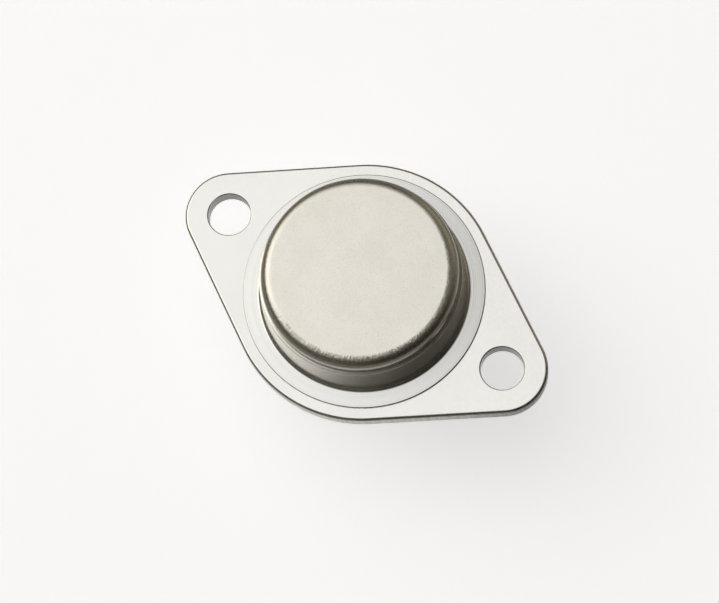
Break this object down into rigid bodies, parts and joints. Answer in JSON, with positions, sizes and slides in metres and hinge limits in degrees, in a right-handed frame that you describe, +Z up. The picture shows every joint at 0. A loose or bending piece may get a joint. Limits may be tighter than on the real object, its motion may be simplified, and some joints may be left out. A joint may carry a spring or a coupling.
{
  "type": "power transistor",
  "caption": "Power transistor in a metal case: a round can welded on a diamond-shaped flange, with screw holes at its ends and pins in glass seals below.",
  "frame": {"origin": "midway between the two mounting holes, on the flange's underside", "axes": "+X along the line of the mounting holes, away from the pins' side; +Z up through the can; the pins point down"},
  "size_m": [0.0386, 0.0252, 0.0199],
  "materials": {
    "flange_plate": "satin nickel plate on punched steel",
    "can_shell": "fine matte nickel plate on drawn steel",
    "pin_metal": "nickel plate on iron-nickel wire",
    "seal_glass": "dark fused sealing glass",
    "braze": "silver-copper braze",
    "spreader_copper": "bare copper",
    "solder": "soft solder",
    "die_silicon": "silicon with aluminium contacts",
    "bond_aluminium": "drawn aluminium wire"
  },
  "bodies": {
    "root": {"base_flange": "flange_plate", "can": "can_shell", "base_pin": "pin_metal", "emitter_pin": "pin_metal", "base_seal": "seal_glass", "emitter_seal": "seal_glass", "spreader_braze": "braze", "heat_spreader": "spreader_copper", "die_solder": "solder", "die": "die_silicon", "emitter_wire_1": "bond_aluminium", "emitter_wire_2": "bond_aluminium", "base_wire": "bond_aluminium"}
  },
  "joints": []
}
